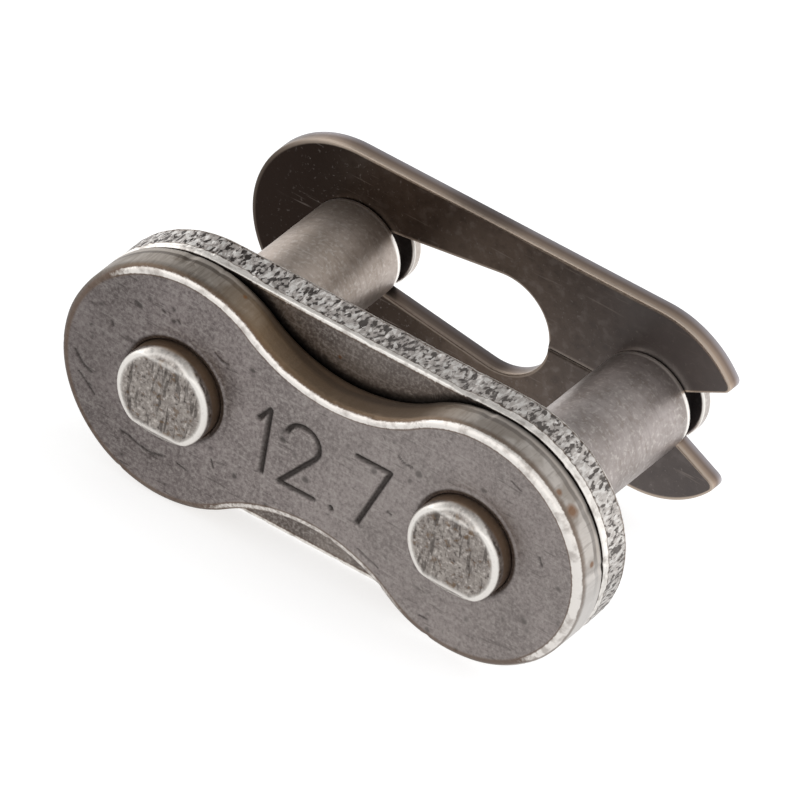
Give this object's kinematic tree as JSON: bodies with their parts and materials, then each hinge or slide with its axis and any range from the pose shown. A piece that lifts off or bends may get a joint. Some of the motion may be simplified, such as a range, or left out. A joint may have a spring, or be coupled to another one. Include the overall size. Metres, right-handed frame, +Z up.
{
  "type": "chain connecting link",
  "caption": "Connecting link that joins a half-inch pitch roller chain: a waisted plate with riveted grooved pins, a sliding loose plate and a spring clip.",
  "frame": {"origin": "middle of the footprint: midway between the pins and midway along them, at the plates' lower edges", "axes": "+X along the pitch towards the clip's open mouth, +Y along the pins from the pin plate to the clip, +Z up"},
  "size_m": [0.0226, 0.0138, 0.0099],
  "materials": {
    "plate_steel": "hardened and tumbled, dull warm grey with fine pits and a worn bright arris",
    "pin_steel": "ground, satin grey",
    "loose_plate_steel": "hardened and tumbled grey, rough fractured rim",
    "clip_steel": "oxidised dark brown spring steel with golden tan edges"
  },
  "bodies": {
    "pin_link": {"pin_plate": "plate_steel", "left_pin": "pin_steel", "right_pin": "pin_steel"},
    "cover": {"loose_plate": "loose_plate_steel"},
    "clip": {"spring_clip": "clip_steel"}
  },
  "joints": [
    {"name": "plate_slide", "type": "slide", "parent": "pin_link", "child": "cover", "axis": [0, 1, 0], "range_m": [0, 0.00835]},
    {"name": "clip_slide", "type": "slide", "parent": "pin_link", "child": "clip", "axis": [-1, 0, 0], "range_m": [0, 0.00635]}
  ]
}
